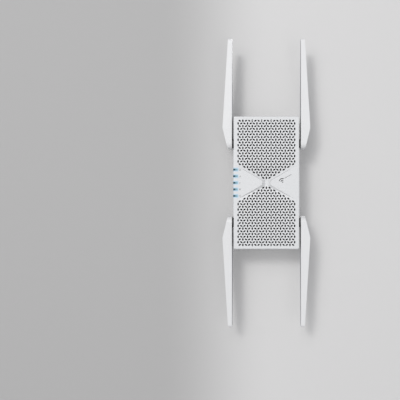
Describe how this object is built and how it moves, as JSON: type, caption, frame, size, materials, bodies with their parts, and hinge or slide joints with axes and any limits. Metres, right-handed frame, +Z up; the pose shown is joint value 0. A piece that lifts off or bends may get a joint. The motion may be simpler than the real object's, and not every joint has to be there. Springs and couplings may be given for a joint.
{
  "type": "wifi range extender",
  "caption": "Wall-plug wireless range extender: a slim white case with a perforated hourglass front, tilting blade antennas at its sides, a wired network socket and a round-pin mains plug.",
  "frame": {"origin": "midway between the two mains pins, on the plug's engagement face", "axes": "+Y points along the pins into the wall, so the grille faces -Y; +Z points up along the case and the upper antennas; +X is the right-hand side of the grille, with the network socket"},
  "size_m": [0.1082, 0.078, 0.3568],
  "materials": {
    "shell_plastic": "satin",
    "antenna_plastic": "satin",
    "button_plastic": "satin",
    "plug_plastic": "matte",
    "pin_nickel": "polished",
    "light_guide_acrylic": "gloss",
    "led_chip": "gloss",
    "circuit_board": "gloss",
    "chip_black": "matte",
    "tinned_steel": "satin",
    "screw_steel": "satin",
    "spring_steel": "satin",
    "thermal_pad": "matte",
    "heat_sink_aluminium": "satin",
    "insulator_film": "satin",
    "ferrite": "matte",
    "bobbin_plastic": "matte",
    "winding_tape": "gloss",
    "capacitor_sleeve": "gloss",
    "choke_copper": "gloss",
    "suppressor_yellow": "satin",
    "fuse_brown": "satin",
    "gold_contact": "polished",
    "socket_plastic": "satin",
    "lamp_lens": "gloss",
    "label_film": "satin",
    "coax_jacket": "satin",
    "radiator_board": "gloss"
  },
  "bodies": {
    "housing": {"front_grille": "shell_plastic", "front_frame": "shell_plastic", "rear_housing": "shell_plastic", "housing_screws": "screw_steel", "rating_label": "label_film", "plug_body": "plug_plastic", "plug_pins": "pin_nickel", "light_guide": "light_guide_acrylic", "status_leds": "led_chip", "main_board": "circuit_board", "small_screws": "screw_steel", "board_chips": "chip_black", "shield_cans": "tinned_steel", "thermal_pads": "thermal_pad", "heat_sink": "heat_sink_aluminium", "insulator_sheet": "insulator_film", "power_board": "circuit_board", "transformer_core": "ferrite", "transformer_bobbin": "bobbin_plastic", "transformer_winding": "winding_tape", "input_capacitors": "capacitor_sleeve", "output_capacitors": "capacitor_sleeve", "filter_choke": "choke_copper", "suppression_capacitor": "suppressor_yellow", "rectifier": "chip_black", "mains_fuse": "fuse_brown", "board_link": "socket_plastic", "board_link_pins": "gold_contact", "ethernet_shell": "tinned_steel", "ethernet_insert": "socket_plastic", "ethernet_contacts": "gold_contact", "ethernet_lamps": "lamp_lens", "switch_bodies": "chip_black", "coax_leads": "coax_jacket", "coax_sockets": "gold_contact", "hinge_washers": "spring_steel"},
    "power_button": {"power_button": "button_plastic"},
    "pairing_button": {"pairing_button": "button_plastic"},
    "reset_button": {"reset_plunger": "button_plastic"},
    "antenna_top_left": {"antenna_top_left_shell": "antenna_plastic", "antenna_top_left_lid": "antenna_plastic", "antenna_top_left_radiator": "radiator_board", "antenna_top_left_coax": "coax_jacket", "antenna_top_left_hinge_clip": "spring_steel"},
    "antenna_top_right": {"antenna_top_right_shell": "antenna_plastic", "antenna_top_right_lid": "antenna_plastic", "antenna_top_right_radiator": "radiator_board", "antenna_top_right_coax": "coax_jacket", "antenna_top_right_hinge_clip": "spring_steel"},
    "antenna_bottom_left": {"antenna_bottom_left_shell": "antenna_plastic", "antenna_bottom_left_lid": "antenna_plastic", "antenna_bottom_left_radiator": "radiator_board", "antenna_bottom_left_coax": "coax_jacket", "antenna_bottom_left_hinge_clip": "spring_steel"},
    "antenna_bottom_right": {"antenna_bottom_right_shell": "antenna_plastic", "antenna_bottom_right_lid": "antenna_plastic", "antenna_bottom_right_radiator": "radiator_board", "antenna_bottom_right_coax": "coax_jacket", "antenna_bottom_right_hinge_clip": "spring_steel"}
  },
  "joints": [
    {"name": "antenna_top_left_tilt", "type": "hinge", "parent": "housing", "child": "antenna_top_left", "pos_m": [-0.0426, -0.05, 0.0491], "axis": [1, 0, 0], "range_deg": [0, 90]},
    {"name": "antenna_top_right_tilt", "type": "hinge", "parent": "housing", "child": "antenna_top_right", "pos_m": [0.0426, -0.05, 0.0491], "axis": [1, 0, 0], "range_deg": [0, 90]},
    {"name": "antenna_bottom_left_tilt", "type": "hinge", "parent": "housing", "child": "antenna_bottom_left", "pos_m": [-0.0426, -0.05, -0.0491], "axis": [-1, 0, 0], "range_deg": [0, 90]},
    {"name": "antenna_bottom_right_tilt", "type": "hinge", "parent": "housing", "child": "antenna_bottom_right", "pos_m": [0.0426, -0.05, -0.0491], "axis": [-1, 0, 0], "range_deg": [0, 90]},
    {"name": "power_button_press", "type": "slide", "parent": "housing", "child": "power_button", "axis": [-1, 0, 0], "range_m": [0, 0.0005], "stiffness_N_per_m": 400, "springref_m": -0.001},
    {"name": "pairing_button_press", "type": "slide", "parent": "housing", "child": "pairing_button", "axis": [-1, 0, 0], "range_m": [0, 0.0005], "stiffness_N_per_m": 400, "springref_m": -0.001},
    {"name": "reset_button_press", "type": "slide", "parent": "housing", "child": "reset_button", "axis": [-1, 0, 0], "range_m": [0, 0.0005], "stiffness_N_per_m": 400, "springref_m": -0.001}
  ]
}
